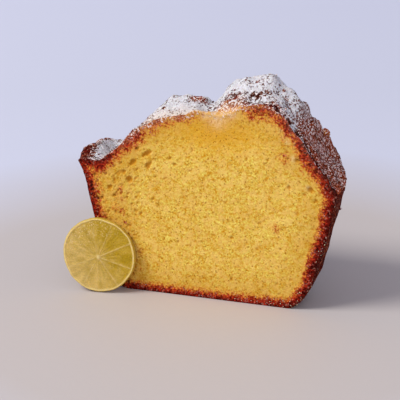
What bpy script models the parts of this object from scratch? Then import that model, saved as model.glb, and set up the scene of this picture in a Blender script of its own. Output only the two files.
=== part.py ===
"""Heel of a lemon loaf cake, cut across, with a round slice of lemon leaning on its cut face.

Frame: metres, +Z up. The origin is on the flat bottom of the cake, BASE_MIDDLE behind the
cut face. The cut face looks along -Y, +X is its right side as it is looked at, and the
end wall of the loaf is at +Y.
"""

import math

import bmesh
import bpy
import numpy as np
from mathutils import Matrix, Vector

# --- Loaf: foot, walls and rim ------------------------------------------------------------
BASE_DEPTH = 0.0340  # cut face to the foot line of the end wall
BASE_MIDDLE = 0.0150  # cut face to the origin
LEFT_BASE = 0.0470  # middle to the foot line of the left wall, before its rounding
RIGHT_BASE = 0.0446
TOP_DEPTH = 0.0500  # cut face to the end wall at the rim
LEFT_TOP = 0.0600
RIGHT_TOP = 0.0585
BELLY = 0.0015  # how far a wall swells beyond its straight line, half-way up
FOOT_RADIUS = 0.0110
FOOT_PULL = 0.0064  # how far the rounding draws the foot of a wall in
PLAN_POWER = 3.3  # of the superellipse that rounds the two corners at the end wall
LEFT_LIP = 0.0041  # how far the crust's lip stands out over the left wall
RIGHT_LIP = 0.0012
LIP_POWER = 8  # how late the lip turns outward
CUT_PINCH = 0.0009  # how far foot and lip draw in at the cut edge
CUT_PINCH_DEPTH = 0.0060

# --- Top crust at the cut face: (across, height) from the left lip to the right one ------
CUT_TOP = (
    (-0.0640, 0.0617),
    (-0.0600, 0.0621),
    (-0.0535, 0.0620),
    (-0.0435, 0.0699),
    (-0.0340, 0.0783),
    (-0.0250, 0.0832),
    (-0.0155, 0.0852),
    (-0.0060, 0.0890),
    (0.0080, 0.0879),
    (0.0150, 0.0917),
    (0.0243, 0.0939),
    (0.0330, 0.0900),
    (0.0420, 0.0800),
    (0.0495, 0.0688),
    (0.0550, 0.0620),
    (0.0590, 0.0558),
)
# --- Humps and hollows behind the cut: across, depth, width, length, height ----------------
HUMPS = (
    (0.0230, 0.0190, 0.0110, 0.0165, 0.0114),
    (0.0076, 0.0200, 0.0070, 0.0150, 0.0142),
    (0.0388, 0.0200, 0.0120, 0.0140, 0.0082),
    (-0.0213, 0.0170, 0.0135, 0.0130, 0.0088),
    (-0.0035, 0.0200, 0.0035, 0.0200, -0.0056),
    (-0.0587, 0.0170, 0.0060, 0.0120, 0.0047),
    (0.0140, 0.0230, 0.0045, 0.0120, 0.0029),
    (0.0480, 0.0200, 0.0070, 0.0140, -0.0078),
    (-0.0320, 0.0200, 0.0080, 0.0130, -0.0031),
    (-0.0480, 0.0180, 0.0060, 0.0120, -0.0065),
    (0.0300, 0.0260, 0.0060, 0.0110, -0.0036),
)
BACK_RIM = 0.0580  # height of the rim in the middle of the end wall
END_POWER = 4.0  # how late the dome falls to the end wall

# --- Relief of the baked crust: each size of lump as (length, height) ----------------------
TOP_LUMPS = ((0.0190, 0.00080), (0.0100, 0.00060), (0.0070, 0.00030))
WALL_LUMPS = ((0.0190, 0.00040), (0.0100, 0.00020))
CALM_AT_CUT = 0.55  # share of the lumps that the clean cut edge is without
CALM_DEPTH = 0.0080
WAVES = 7  # plane waves in each size of lump
SEED = 13

# --- Lemon slice ------------------------------------------------------------------------
SLICE_RADIUS = 0.0171
SLICE_THICKNESS = 0.0032
SLICE_EDGE = 0.0008  # rounding of its rim
SLICE_LEAN = math.radians(9)  # back against the cut face
SLICE_YAW = math.radians(7)  # its right side turned back
SLICE_ACROSS = -0.0509  # its middle, across
SLICE_BULGE = 0.09  # of the radius, outward at BULGE_AT
BULGE_AT = math.radians(130)
SLICE_SIDES = 60
CLEARANCE = 0.0003  # between the slice and the cake

# --- Colours and mesh density -------------------------------------------------------------
CAKE_COLOUR = (0.62, 0.34, 0.06, 1)
SLICE_COLOUR = (0.62, 0.50, 0.12, 1)
CAKE_ROUGHNESS = 0.85
SLICE_ROUGHNESS = 0.30
CELLS = (72, 24, 28)  # across, along the depth and up


def smooth_curve(pairs, x):
    """A smooth line through the pairs, read at x: cubic pieces with Catmull-Rom slopes."""
    px, pz = np.array(pairs).T
    slope = np.gradient(pz, px)
    k = np.clip(np.searchsorted(px, x) - 1, 0, len(px) - 2)
    step = px[k + 1] - px[k]
    t = np.clip((x - px[k]) / step, 0, 1)
    return (
        (2 * t**3 - 3 * t**2 + 1) * pz[k]
        + (t**3 - 2 * t**2 + t) * step * slope[k]
        + (3 * t**2 - 2 * t**3) * pz[k + 1]
        + (t**3 - t**2) * step * slope[k + 1]
    )


def lumps(places, sizes):
    """Smooth random relief at the places, from plane waves in all directions."""
    rng = np.random.RandomState(SEED)
    height = 0
    for length, tall in sizes:
        for _ in range(WAVES):
            way = rng.normal(size=3)
            way *= 2 * math.pi / (length * np.linalg.norm(way))
            phase = rng.uniform(0, 2 * math.pi)
            height = height + tall * np.sin(np.tensordot(way, places, 1) + phase)
    return height / math.sqrt(WAVES / 2)


def top_height(x, deep):
    """Height of the top crust at x, deep behind the cut face."""
    z = smooth_curve(CUT_TOP, x)
    for across, depth, width, length, height in HUMPS:
        reach = np.exp(-(((x - across) / width) ** 2) - ((deep - depth) / length) ** 2)
        at_cut = np.exp(-(((x - across) / width) ** 2) - (depth / length) ** 2)
        z = z + height * (reach - at_cut)
    v = np.clip(deep / TOP_DEPTH, 0, 1)
    return BACK_RIM + (z - BACK_RIM) * (1 - v**END_POWER)


def loaf_points(u, v, w):
    """Places on the loaf for u across from -1 to 1, v back from the cut and w up, 0 to 1."""
    shell = np.maximum(np.abs(u), v)
    norm = (np.abs(u) ** PLAN_POWER + v**PLAN_POWER) ** (1 / PLAN_POWER)
    pull = shell / np.maximum(norm, 1e-9)
    u, v = u * pull, v * pull
    side = (u + 1) / 2
    rim_left = LEFT_TOP + LEFT_LIP
    rim_x = -rim_left + (rim_left + RIGHT_TOP + RIGHT_LIP) * side
    rim_deep = v * TOP_DEPTH
    z = w * top_height(rim_x, rim_deep)
    lively = 1 - CALM_AT_CUT * np.exp(-((rim_deep / CALM_DEPTH) ** 2))
    z = z + lumps((rim_x, rim_deep, z), TOP_LUMPS) * lively * w**LIP_POWER
    short = np.clip(1 - z / FOOT_RADIUS, 0, 1)
    lip = w**LIP_POWER
    out = BELLY * np.sin(math.pi * w) - FOOT_PULL * (1 - np.sqrt(1 - short**2))
    out = out + lumps((rim_x, rim_deep, z), WALL_LUMPS) * lively * (1 - short)
    near_cut = np.exp(-((v * TOP_DEPTH / CUT_PINCH_DEPTH) ** 2))
    out_side = out - CUT_PINCH * (1 - w + lip) * near_cut
    left = LEFT_BASE + (LEFT_TOP - LEFT_BASE) * w + LEFT_LIP * lip + out_side
    right = RIGHT_BASE + (RIGHT_TOP - RIGHT_BASE) * w + RIGHT_LIP * lip + out_side
    x = -left + (left + right) * side
    deep = v * (BASE_DEPTH + (TOP_DEPTH - BASE_DEPTH) * w + out)
    return x, deep - BASE_MIDDLE, z


def grid_cube():
    """A closed box with corners at 0 and 1, cut into CELLS cells along its sides."""
    bm = bmesh.new()
    bmesh.ops.create_cube(bm, size=1)
    bmesh.ops.translate(bm, verts=bm.verts, vec=Vector((0.5, 0.5, 0.5)))
    for axis, cells in enumerate(CELLS):
        normal = Vector((axis == 0, axis == 1, axis == 2))
        for k in range(1, cells):
            bmesh.ops.bisect_plane(
                bm, geom=bm.verts[:] + bm.edges[:] + bm.faces[:],
                plane_co=normal * k / cells, plane_no=normal,
            )
    return bm


def make_cake():
    """The loaf's closed surface: the box's points moved to their places on the loaf."""
    bm = grid_cube()
    u, v, w = np.array([vert.co for vert in bm.verts]).T
    for vert, place in zip(bm.verts, zip(*loaf_points(2 * u - 1, v, w))):
        vert.co = place
    bmesh.ops.recalc_face_normals(bm, faces=bm.faces)
    return bm


def make_slice():
    """A flat round slice with rounded edges, standing on its rim and leaning back."""
    bm = bmesh.new()
    bmesh.ops.create_cone(
        bm, cap_ends=True, segments=SLICE_SIDES, depth=SLICE_THICKNESS,
        radius1=SLICE_RADIUS, radius2=SLICE_RADIUS,
    )
    rims = [edge for edge in bm.edges if len({round(v.co.z, 6) for v in edge.verts}) == 1]
    bmesh.ops.bevel(bm, geom=rims, offset=SLICE_EDGE, segments=3, profile=0.5, affect="EDGES")
    for vert in bm.verts:
        angle = math.atan2(vert.co.y, vert.co.x) - BULGE_AT
        stretch = 1 + SLICE_BULGE * max(math.cos(angle), 0) ** 2
        vert.co.x *= stretch
        vert.co.y *= stretch
    upright = Matrix.Rotation(math.pi / 2 - SLICE_LEAN, 3, "X")
    turned = Matrix.Rotation(SLICE_YAW, 3, "Z") @ upright
    bmesh.ops.rotate(bm, verts=bm.verts, cent=Vector(), matrix=turned)
    back = max(vert.co.y for vert in bm.verts)
    low = min(vert.co.z for vert in bm.verts)
    shift = Vector((SLICE_ACROSS, -BASE_MIDDLE - CLEARANCE - back, -low))
    bmesh.ops.translate(bm, verts=bm.verts, vec=shift)
    return bm


def add_object(name, bm, colour, roughness, collection):
    mesh = bpy.data.meshes.new(name)
    bm.to_mesh(mesh)
    bm.free()
    material = bpy.data.materials.new(name)
    material.use_nodes = True
    shader = material.node_tree.nodes["Principled BSDF"]
    shader.inputs["Base Color"].default_value = colour
    shader.inputs["Roughness"].default_value = roughness
    mesh.materials.append(material)
    obj = bpy.data.objects.new(name, mesh)
    collection.objects.link(obj)


def main():
    for obj in list(bpy.data.objects):
        bpy.data.objects.remove(obj)
    collection = bpy.data.collections.new("lemon_cake")
    bpy.context.scene.collection.children.link(collection)
    add_object("cake", make_cake(), CAKE_COLOUR, CAKE_ROUGHNESS, collection)
    add_object("lemon_slice", make_slice(), SLICE_COLOUR, SLICE_ROUGHNESS, collection)


if __name__ == "__main__":
    main()
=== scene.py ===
"""Looks of the end piece of a lemon loaf cake with a round citrus slice leaning on its cut.

Laid out as a Blender add-on and run as a script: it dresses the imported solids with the
baked crust, the porous crumb, the dusting of sugar and the pulp of the slice, and sets up
the floor, the light and the camera.
"""

import math

import bpy
import numpy as np
from bpy.props import FloatProperty, FloatVectorProperty, PointerProperty
from bpy.types import Operator, Panel, PropertyGroup
from mathutils import Matrix, Vector


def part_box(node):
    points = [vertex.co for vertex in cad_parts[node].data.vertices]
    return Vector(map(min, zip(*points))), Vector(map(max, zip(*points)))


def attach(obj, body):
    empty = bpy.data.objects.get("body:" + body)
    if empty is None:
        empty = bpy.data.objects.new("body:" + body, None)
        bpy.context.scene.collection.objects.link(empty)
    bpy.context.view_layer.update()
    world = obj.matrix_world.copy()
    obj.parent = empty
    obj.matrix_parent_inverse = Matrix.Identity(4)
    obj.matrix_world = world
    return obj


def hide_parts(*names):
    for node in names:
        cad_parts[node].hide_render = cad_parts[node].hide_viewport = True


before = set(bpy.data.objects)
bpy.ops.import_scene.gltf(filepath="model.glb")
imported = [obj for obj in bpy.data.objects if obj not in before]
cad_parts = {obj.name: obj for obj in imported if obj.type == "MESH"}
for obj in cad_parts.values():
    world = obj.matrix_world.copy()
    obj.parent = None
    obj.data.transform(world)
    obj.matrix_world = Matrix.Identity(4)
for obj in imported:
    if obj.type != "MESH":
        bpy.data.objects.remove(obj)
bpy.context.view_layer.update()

bl_info = {
    "name": "Lemon loaf cake",
    "version": (1, 0, 0),
    "blender": (4, 5, 0),
    "location": "View3D > Sidebar > Lemon cake",
    "description": "Builds the crumb, crust, sugar and citrus slice of a cut loaf cake",
    "category": "Add Mesh",
}


def metres(lengths, rows):
    """A table whose first columns, so many lengths, are turned from millimetres to metres."""
    return [[round(n / 1000, 7) for n in row[:lengths]] + [*row[lengths:]] for row in rows]


# --- The loaf's form as the solids have it: in metres, and in millimetres inside metres() ---
BASE_DEPTH, TOP_DEPTH = 0.0340, 0.0500
BASE_MIDDLE = 0.0150
LEFT_BASE, RIGHT_BASE = 0.0470, 0.0446
LEFT_TOP, RIGHT_TOP = 0.0600, 0.0585
LEFT_LIP, RIGHT_LIP, LIP_POWER = 0.0041, 0.0012, 8
BELLY, PLAN_POWER = 0.0015, 3.3
FOOT_RADIUS, FOOT_PULL = 0.0110, 0.0064
CUT_PINCH, CUT_PINCH_DEPTH = 0.0009, 0.0060
CUT_TOP = metres(2, (
    (-64, 61.7), (-60, 62.1), (-53.5, 62), (-43.5, 69.9), (-34, 78.3), (-25, 83.2), (-15.5, 85.2),
    (-6, 89), (8, 87.9), (15, 91.7), (24.3, 93.9), (33, 90), (42, 80), (49.5, 68.8), (55, 62),
    (59, 55.8),
))
HUMPS = metres(5, (
    (23, 19, 11, 16.5, 11.4), (7.6, 20, 7, 15, 14.2), (38.8, 20, 12, 14, 8.2),
    (-21.3, 17, 13.5, 13, 8.8), (-3.5, 20, 3.5, 20, -5.6), (-58.7, 17, 6, 12, 4.7),
    (14, 23, 4.5, 12, 2.9), (48, 20, 7, 14, -7.8), (-32, 20, 8, 13, -3.1), (-48, 18, 6, 12, -6.5),
    (30, 26, 6, 11, -3.6),
))
BACK_RIM, END_POWER = 0.0580, 4.0
TOP_LUMPS = metres(2, ((19, 0.8), (10, 0.6), (7, 0.3)))
WALL_LUMPS = metres(2, ((19, 0.4), (10, 0.2)))
CALM_AT_CUT, CALM_DEPTH = 0.55, 0.0080
WAVES, SEED = 7, 13

# --- Cells of the loaf's surface: across, along the depth and up ---
CELLS = (240, 80, 180)
CROWDING = 1.35  # power that crowds the rows along the depth towards the cut


def bell(*parts):
    """A Gaussian: e to minus the sum of the squares of the parts."""
    return np.exp(-sum(part**2 for part in parts))


def smooth_curve(pairs, x):
    """A smooth line through the pairs, read at x: cubic pieces with Catmull-Rom slopes."""
    px, pz = np.array(pairs).T
    slope = np.gradient(pz, px)
    k = np.clip(np.searchsorted(px, x) - 1, 0, len(px) - 2)
    step = px[k + 1] - px[k]
    t = np.clip((x - px[k]) / step, 0, 1)
    return (
        (2 * t**3 - 3 * t**2 + 1) * pz[k]
        + (t**3 - 2 * t**2 + t) * step * slope[k]
        + (3 * t**2 - 2 * t**3) * pz[k + 1]
        + (t**3 - t**2) * step * slope[k + 1]
    )


def lumps(places, sizes):
    """Smooth random relief: for each size a sum of seven sine waves in random directions."""
    rng = np.random.RandomState(SEED)
    height = 0
    for length, tall in sizes:
        for _ in range(WAVES):
            way = rng.normal(size=3)
            way *= 2 * math.pi / (length * np.linalg.norm(way))
            phase = rng.uniform(0, 2 * math.pi)
            height = height + tall * np.sin(np.tensordot(way, places, 1) + phase)
    return height / math.sqrt(WAVES / 2)


def top_height(x, deep):
    """Height of the top crust: the line of the cut edge, plus Gaussian humps behind it,
    falling to the rim of the end wall with the fourth power of the depth."""
    z = smooth_curve(CUT_TOP, x)
    for across, depth, width, length, height in HUMPS:
        reach = bell((x - across) / width, (deep - depth) / length)
        at_cut = bell((x - across) / width, depth / length)
        z = z + height * (reach - at_cut)
    v = np.clip(deep / TOP_DEPTH, 0, 1)
    return BACK_RIM + (z - BACK_RIM) * (1 - v**END_POWER)


def loaf_points(u, v, w):
    """Places on the loaf for u across from -1 to 1, v back from the cut and w up, 0 to 1.

    The plan is a superellipse quarter at each back corner; a wall runs straight from foot
    to rim, plus a sine belly, a rounded foot and a lip that turns out near the rim."""
    shell = np.maximum(np.abs(u), v)
    norm = (np.abs(u) ** PLAN_POWER + v**PLAN_POWER) ** (1 / PLAN_POWER)
    pull = shell / np.maximum(norm, 1e-9)
    u, v = u * pull, v * pull
    side = (u + 1) / 2
    rim_left = LEFT_TOP + LEFT_LIP
    rim_x = -rim_left + (rim_left + RIGHT_TOP + RIGHT_LIP) * side
    rim_deep = v * TOP_DEPTH
    z = w * top_height(rim_x, rim_deep)
    lively = 1 - CALM_AT_CUT * bell(rim_deep / CALM_DEPTH)
    z = z + lumps((rim_x, rim_deep, z), TOP_LUMPS) * lively * w**LIP_POWER
    short = np.clip(1 - z / FOOT_RADIUS, 0, 1)
    lip = w**LIP_POWER
    out = BELLY * np.sin(math.pi * w) - FOOT_PULL * (1 - np.sqrt(1 - short**2))
    out = out + lumps((rim_x, rim_deep, z), WALL_LUMPS) * lively * (1 - short)
    near_cut = bell(v * TOP_DEPTH / CUT_PINCH_DEPTH)
    out_side = out - CUT_PINCH * (1 - w + lip) * near_cut
    left = LEFT_BASE + (LEFT_TOP - LEFT_BASE) * w + LEFT_LIP * lip + out_side
    right = RIGHT_BASE + (RIGHT_TOP - RIGHT_BASE) * w + RIGHT_LIP * lip + out_side
    x = -left + (left + right) * side
    deep = v * (BASE_DEPTH + (TOP_DEPTH - BASE_DEPTH) * w + out)
    return x, deep - BASE_MIDDLE, z


# --- Fine relief and patterns: in metres, and in millimetres inside metres() ---
TABLE_SIZE = 32  # seeded numbers along each side of a noise table
# noises of the skin's relief, as (height, size, seed); the swell is on the top alone
CRUST_NOISES = ((0.00022, 0.0010, 1), (0.00020, 0.0021, 2))
CRUST_SWELL = (0.00016, 0.0046, 3)
# round dents and knobs: side of a cell, least and greatest radius, share of cells, seed
CRUST_DENTS = (0.0023, (0.0004, 0.0010), 0.5, 4)
CRUST_KNOBS = (0.0019, (0.0003, 0.0008), 0.6, 11)
LARGE_PORES = (0.0042, (0.0003, 0.0009), 0.5, 5)
SMALL_PORES = (0.0014, (0.0002, 0.0005), 0.7, 6)
LEFT_PORES = (0.0020, (0.0004, 0.0011), 0.7, 19)
PIT_DEPTH = 0.0009
CRUMB_BEND = 0.00035  # how far noise shifts the hollows of the crumb
CRUST_SINK = 0.00008  # middle level of the crust's fine relief, below the solid's skin
LEFT_GROWTH = 0.00025  # how far the left wall's skin stands outside the solid
CUT_FADE = 0.0030  # over which the cut face follows a shift of its outline
# the baked band on the cut, along each side: (across, thickness, darkness at the outline,
# power with which the darkness falls over the thickness)
BAND_LEFT = metres(2, ((0, 7.4, 0.84, 0.9),))
BAND_RIGHT = metres(2, ((0, 6.4, 1.02, 1.25),))
BAND_FOOT = metres(2, (
    (-20, 4.9, 0.92, 1), (20, 5.5, 0.84, 0.95), (34, 5.6, 0.9, 1.2), (42, 5.8, 1.12, 1.3),
))
BAND_TOP = metres(2, (
    (-62, 8.2, 0.94, 1.35), (-52, 8, 0.9, 1.35), (-48, 5.8, 0.58, 1.5), (-44, 5.6, 0.49, 1.5),
    (-36, 7.6, 0.44, 1.8), (-26, 5.6, 0.4, 1.4), (-15, 5, 0.34, 1.4), (-7, 4.5, 0.22, 1.2),
    (-2, 4, 0.02, 1), (8, 4, 0.02, 1), (13, 4.6, 0.16, 1), (18, 8, 0.42, 2), (24, 9, 0.52, 2),
    (30, 8, 0.57, 1.2), (36, 7.4, 0.48, 1.1), (42, 6.8, 0.4, 1), (48, 7, 0.56, 1.1),
    (53, 7, 0.86, 1.2), (59, 6.6, 0.96, 1.25),
))
# darkness of the skin behind the cut: on the walls, far back, and along the top near the
# cut as (across, darkness)
WALL_BAKE, BACK_BAKE = 1.12, 1.3
# from 34 mm across on, the right slope gets the ramp's lightest brown: partly painted light that
# brightens this shaded slope
TOP_BAKE = metres(1, (
    (-62, 1.1), (-58, 1.14), (-54, 1.36), (-50, 1.1), (-45, 0.62), (-37, 0.62), (-32, 1.2),
    (-26, 1.34), (-14, 1.34), (-6, 0.7), (2, 0.2), (8, 0.45), (13, 0.62), (18, 1.05), (24, 1.3),
    (34, 1.38), (60, 1.38),
))
# share of sugar on the top: across, at the cut, 6 mm behind it, 14 mm behind it
SUGAR = metres(1, (
    (-63, 0.04, 0.02, 0.14), (-59, 0.06, 0.04, 0.2), (-55, 0.54, 0.76, 0.74),
    (-49, 0.32, 0.6, 0.66), (-41, 0.12, 0.34, 0.54), (-31, 0.46, 0.62, 0.6), (-21, 0.72, 0.8, 0.78),
    (-11, 0.68, 0.9, 0.6), (-3, 0.32, 0.78, 0.7), (4, 0.18, 0.46, 0.78), (12, 0.34, 0.5, 0.8),
    (18, 0.42, 0.6, 0.86), (24, 0.54, 0.68, 0.86), (30, 0.4, 0.72, 0.86), (36, 0.38, 0.6, 0.68),
    (42, 0.24, 0.12, 0.33), (48, 0.08, 0.07, 0.25), (54, 0.12, 0.16, 0.27), (60, 0.02, 0.05, 0.1),
))
# heaps and bare patches of the sugar: across, depth behind the cut, radius, change
HEAPS = metres(3, (
    (13.2, 12.2, 3, 0.3), (-8, 13.5, 3.4, -0.42), (18.8, 13.1, 1.2, -0.6), (37.5, 1.2, 1.9, 0.7),
    (41.2, 0.6, 1.4, 0.6), (-55.5, 15, 3, 0.22),
))
# soft powder along the cut's top edge, on the cut and behind it: (across, share)
VEIL = metres(1, (
    (-64, 0), (-44, 0.03), (-38, 0.2), (-32, 0.2), (-27, 0.32), (-12, 0.32), (-2, 0.42), (6, 0.42),
    (12, 0.24), (18, 0.2), (28, 0.2), (36, 0.12), (46, 0.08), (52, 0.04), (60, 0),
))
VEIL_REACH, VEIL_DEPTH = 0.0020, 0.005  # down the cut, and back along the top
# hollows that stand out on the cut: across, height, long half, short half, tilt in degrees
HOLES = metres(4, (
    (-36.2, 61.9, 2.4, 1.1, 45), (-38, 53.8, 1.7, 1.6, 50), (-40.6, 57.2, 1.5, 1.1, 30),
    (-47.6, 49.3, 1.6, 1.1, 10), (-29.2, 66.8, 3, 1.2, 30), (-33.5, 69, 1.5, 0.8, 35),
    (-28.5, 60.8, 2.3, 0.9, 60), (-25.5, 60, 1, 0.7, 20), (-25.6, 56.3, 0.9, 0.7, 50),
    (-18.3, 65.4, 1, 0.8, 20), (-16, 62.8, 0.9, 0.7, 0), (-8.8, 60.7, 1.3, 0.5, 25),
    (-36.6, 41.9, 0.9, 0.7, 0), (-26.5, 45.1, 1, 0.7, 10), (-32.5, 38, 1.1, 0.7, 20),
    (-44, 56, 1, 0.7, 30), (-45, 52.5, 0.9, 0.7, 0), (46.9, 57.2, 1.6, 1.2, -40),
    (49.3, 52.2, 1.3, 0.8, 20), (40.6, 70, 1.5, 0.9, 20), (37, 57.5, 1, 0.8, 30),
    (44, 54.7, 1.1, 0.7, -30), (33.6, 28.1, 0.9, 0.7, 0), (11, 31, 1.3, 0.7, 10),
    (11, 11, 1, 0.7, 20), (-12, 75, 0.8, 0.5, 0), (27, 69, 0.9, 0.7, 0), (-28.3, 61.8, 2.6, 1, 40),
    (-34, 59, 1.2, 0.6, 20), (-42, 61.2, 1.2, 0.7, 35), (-44, 47, 1, 0.6, 60),
    (-33, 48, 0.9, 0.5, 30), (-20.5, 56, 1, 0.5, 20),
))
# baked flecks on the cut: across, height, radius, depth value in the middle; the two at -33.8 and
# -33.5 across, beside the slice's right edge, are partly baked colour and partly the slice's
# painted shadow
FLECKS = metres(3, (
    (-41.9, 48.3, 2, 0.64), (-41.7, 44, 2, 0.66), (-41.6, 37.8, 2.2, 0.58), (-45, 40, 4.4, 0.86),
    (-44, 45.5, 3.4, 0.88), (-40, 32.3, 0.9, 0.58), (-33.8, 10.5, 3, 0.86), (-33.5, 19, 3.6, 0.92),
    (35.2, 71.2, 3.4, 0.7), (35.5, 68.8, 2.6, 0.72), (42.8, 65, 2, 0.78), (32.8, 70.8, 3, 0.78),
    (31.5, 37.7, 3.3, 0.7), (-10, 85.8, 1.4, 0.6), (-5.7, 88.4, 1.4, 0.55), (-2.2, 87, 1.1, 0.6),
    (17.7, 92.4, 1.2, 0.55),
))
# cream spots of the crumb: across, height, radius
CREAM_SPOTS = metres(3, (
    (35.8, 78.1, 1.4), (34.5, 80, 1), (39.8, 76.7, 1.1), (38.4, 70.6, 1.4), (45.5, 58, 1),
    (33, 83, 1),
))
GOLD_AT, GOLD_HALF = (0.003, 0.079), (0.020, 0.008)  # golden crumb: middle, half sizes
# powder fallen on the cut: across, height, radius
POWDER_SPOTS = metres(3, ((4, 86.2, 4.5), (-1, 88, 3), (10, 89, 3)))
# deep pits in the top crust: across, depth behind the cut, radius
PITS = metres(3, (
    (20.4, 6, 1.2), (18, 7, 0.9), (24.2, 8.3, 0.7), (21.6, 7.4, 0.8), (6.1, 9.9, 0.6),
    (8.5, 8, 0.6), (10.5, 6.5, 0.6), (12.1, 5.3, 0.6), (25.8, 0.6, 1.3), (31, 1.2, 1.2),
    (28, 1.2, 1), (36.4, 1.5, 1.3), (40.5, 1.6, 1.6), (43.8, 2.9, 1.2), (46.3, 29, 1.4),
    (32.5, 11, 0.9), (-23, 6, 0.7), (-47, 6, 0.9), (-33, 9, 0.7),
))

# --- Crumbs and crystals: how many, and least and greatest size and depth value ---
CRYSTALS, CRYSTAL_SIZES = 60, (0.00012, 0.00026)
LOOSE_CRUMBS, CRUMB_SIZES, CRUMB_TONES = 16, (0.0003, 0.0007), (-0.15, 0.35)
# crumbs at set places: across, y, height, size, depth value
CRUMBS = metres(4, ((44.5, 21.1, 73, 2.3, 0.6), (56, 5.4, 43.1, 0.8, -0.2)))

# --- Colours ---
# noises in the cake's colours: broad, clumps, medium, small, fine and coarse, each by its
# size in metres and, where not as usual, the lower and the upper level of its mask
CAKE_SPECKLES = ((0.0110,), (0.0034,), (0.0020,), (0.0010,), (0.0005,), (0.0009, 0.38, 0.62))
GRAIN_SIZE = 0.0007
CREASE_SCALE = (0.35, 1.0, 0.5)  # of the noise in the creases of the sugar
# baked colours from the dark skin to the crumb: depth value, screen colour, cover
RAMP_LOW, RAMP_HIGH = -0.40, 1.10
BAKED_STOPS = (
    # the first stop's light brown is partly painted light, lifting the shaded right slope of the
    # top
    (-0.40, (166, 74, 42), 1.0), (-0.14, (70, 21, 13), 1.0), (0.04, (80, 16, 9), 1.0),
    (0.28, (128, 27, 16), 1.0), (0.50, (165, 52, 25), 1.0), (0.65, (192, 91, 36), 0.95),
    (0.82, (210, 130, 46), 0.70), (1.06, (226, 160, 56), 0.0),
)

# --- Stage, in metres ---
# lights: name, place, size across
LIGHTS = (("key_light", (-1.9, -1.4, 2.6), 1.7), ("fill_light", (0.8, -2.6, 1.2), 2.0))
LIGHT_AIM = (0, 0, 0.04)
CAMERA_AT = (0.1676, -0.5428, 0.2353)
CAMERA_DOWN, CAMERA_YAW = math.radians(18.7), math.radians(18)
CAMERA_LENS, CAMERA_SENSOR = 117.2, 36.0

# --- Citrus slice, in metres, as the solid has it ---
SLICE_RADIUS, SLICE_THICKNESS, SLICE_EDGE = 0.0171, 0.0032, 0.0008
SLICE_LEAN, SLICE_YAW = math.radians(9), math.radians(7)
SLICE_BULGE, BULGE_AT = 0.09, math.radians(130)
SLICE_ACROSS = -0.0509
SLICE_ROUND = 240  # points round each ring
MEMBRANE_HALF = 0.00027
PITH_FROM = 0.940  # share of the radius
SLICE_HEART, HEART_HALF = (-0.0007, -0.0004), 0.0011  # where the membranes meet
FACE_SINK, PULP_SINK = 0.00004, 0.00022
SAC_RELIEF, FINE_RELIEF = 0.00012, 0.00006  # of the pulp
RIM_FINE, RIM_WAVES = 0.00012, 0.00014  # of the outline, inward
WAVE_SHARE = 0.020  # how far the pith's inner edge wavers, of the radius
# rays of the membranes: angle in degrees, strength
MEMBRANES = (
    (26, 0.75), (68, 0.5), (104, 0.35), (140, 0.2), (172, 0.2), (202, 0.40), (243, 0.45),
    (268, 0.3), (307, 0.70), (344, 0.75),
)


def value_noise(places, size, seed):
    """Smooth random numbers from -1 to 1: seeded numbers on a cubic lattice, size apart,
    read between its points along smooth steps."""
    table = np.random.RandomState(seed).uniform(-1, 1, (TABLE_SIZE,) * 3)
    place = np.asarray(places) / size
    cell = np.floor(place).astype(int)
    part = place - cell
    part = part * part * (3 - 2 * part)
    total = 0
    for corner in np.ndindex(2, 2, 2):
        weight = np.prod(np.where(corner, part, 1 - part), axis=-1)
        a, b, c = np.moveaxis((cell + corner) % TABLE_SIZE, -1, 0)
        total = total + weight * table[a, b, c]
    return total


def round_dents(x, z, cell, radii, share, seed):
    """Hollows on a plane, one at a random place in each of a share of square cells. Each
    is as deep as its radius times 1 minus the square of the distance over that radius."""
    rng = np.random.RandomState(seed)
    jitter = rng.uniform(0.15, 0.85, (2, TABLE_SIZE, TABLE_SIZE))
    radius = radii[0] + (radii[1] - radii[0]) * rng.uniform(size=(TABLE_SIZE,) * 2) ** 2
    radius = np.where(rng.uniform(size=radius.shape) < share, radius, 1e-6)
    col, row = np.floor(x / cell).astype(int), np.floor(z / cell).astype(int)
    deep = 0
    for a, b in np.ndindex(3, 3):
        i, j = col + a - 1, row + b - 1
        at = (i % TABLE_SIZE, j % TABLE_SIZE)
        dx, dz = x - (i + jitter[0][at]) * cell, z - (j + jitter[1][at]) * cell
        hollow = radius[at] * np.clip(1 - (dx**2 + dz**2) / radius[at] ** 2, 0, 1)
        deep = np.maximum(deep, hollow)
    return deep


def spot(x, z, across, height, radius):
    """A soft round spot: e to minus the square of the distance over the radius."""
    return np.exp(-((x - across) ** 2 + (z - height) ** 2) / radius**2)


def spots(x, z, table):
    """The highest of the spots in the table, each as (across, height, radius)."""
    return np.max([spot(x, z, *row) for row in table], axis=0)


def long_holes(x, z):
    """Elongated hollows from HOLES: depth is 1.3 times the short half times 1 minus the
    squared distance, measured in halves along and across each tilted hole."""
    deep = 0
    for across, height, long, short, tilt in HOLES:
        turn = math.radians(tilt)
        along = ((x - across) * math.cos(turn) + (z - height) * math.sin(turn)) / long
        aside = (-(x - across) * math.sin(turn) + (z - height) * math.cos(turn)) / short
        deep = np.maximum(deep, 1.3 * short * np.clip(1 - along**2 - aside**2, 0, 1))
    return deep


def read_along(rows, x, column=1):
    """Straight lines between the rows' values in the column, read at x along column 0."""
    table = np.array(rows)
    return np.interp(x, table[:, 0], table[:, column])


def ease(low, high, x):
    """0 at low, 1 at high, the smooth step 3t^2 - 2t^3 between them and level beyond. It
    falls along x where low is the greater of the two."""
    t = np.clip((x - low) / (high - low), 0, 1)
    return t * t * (3 - 2 * t)


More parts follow.
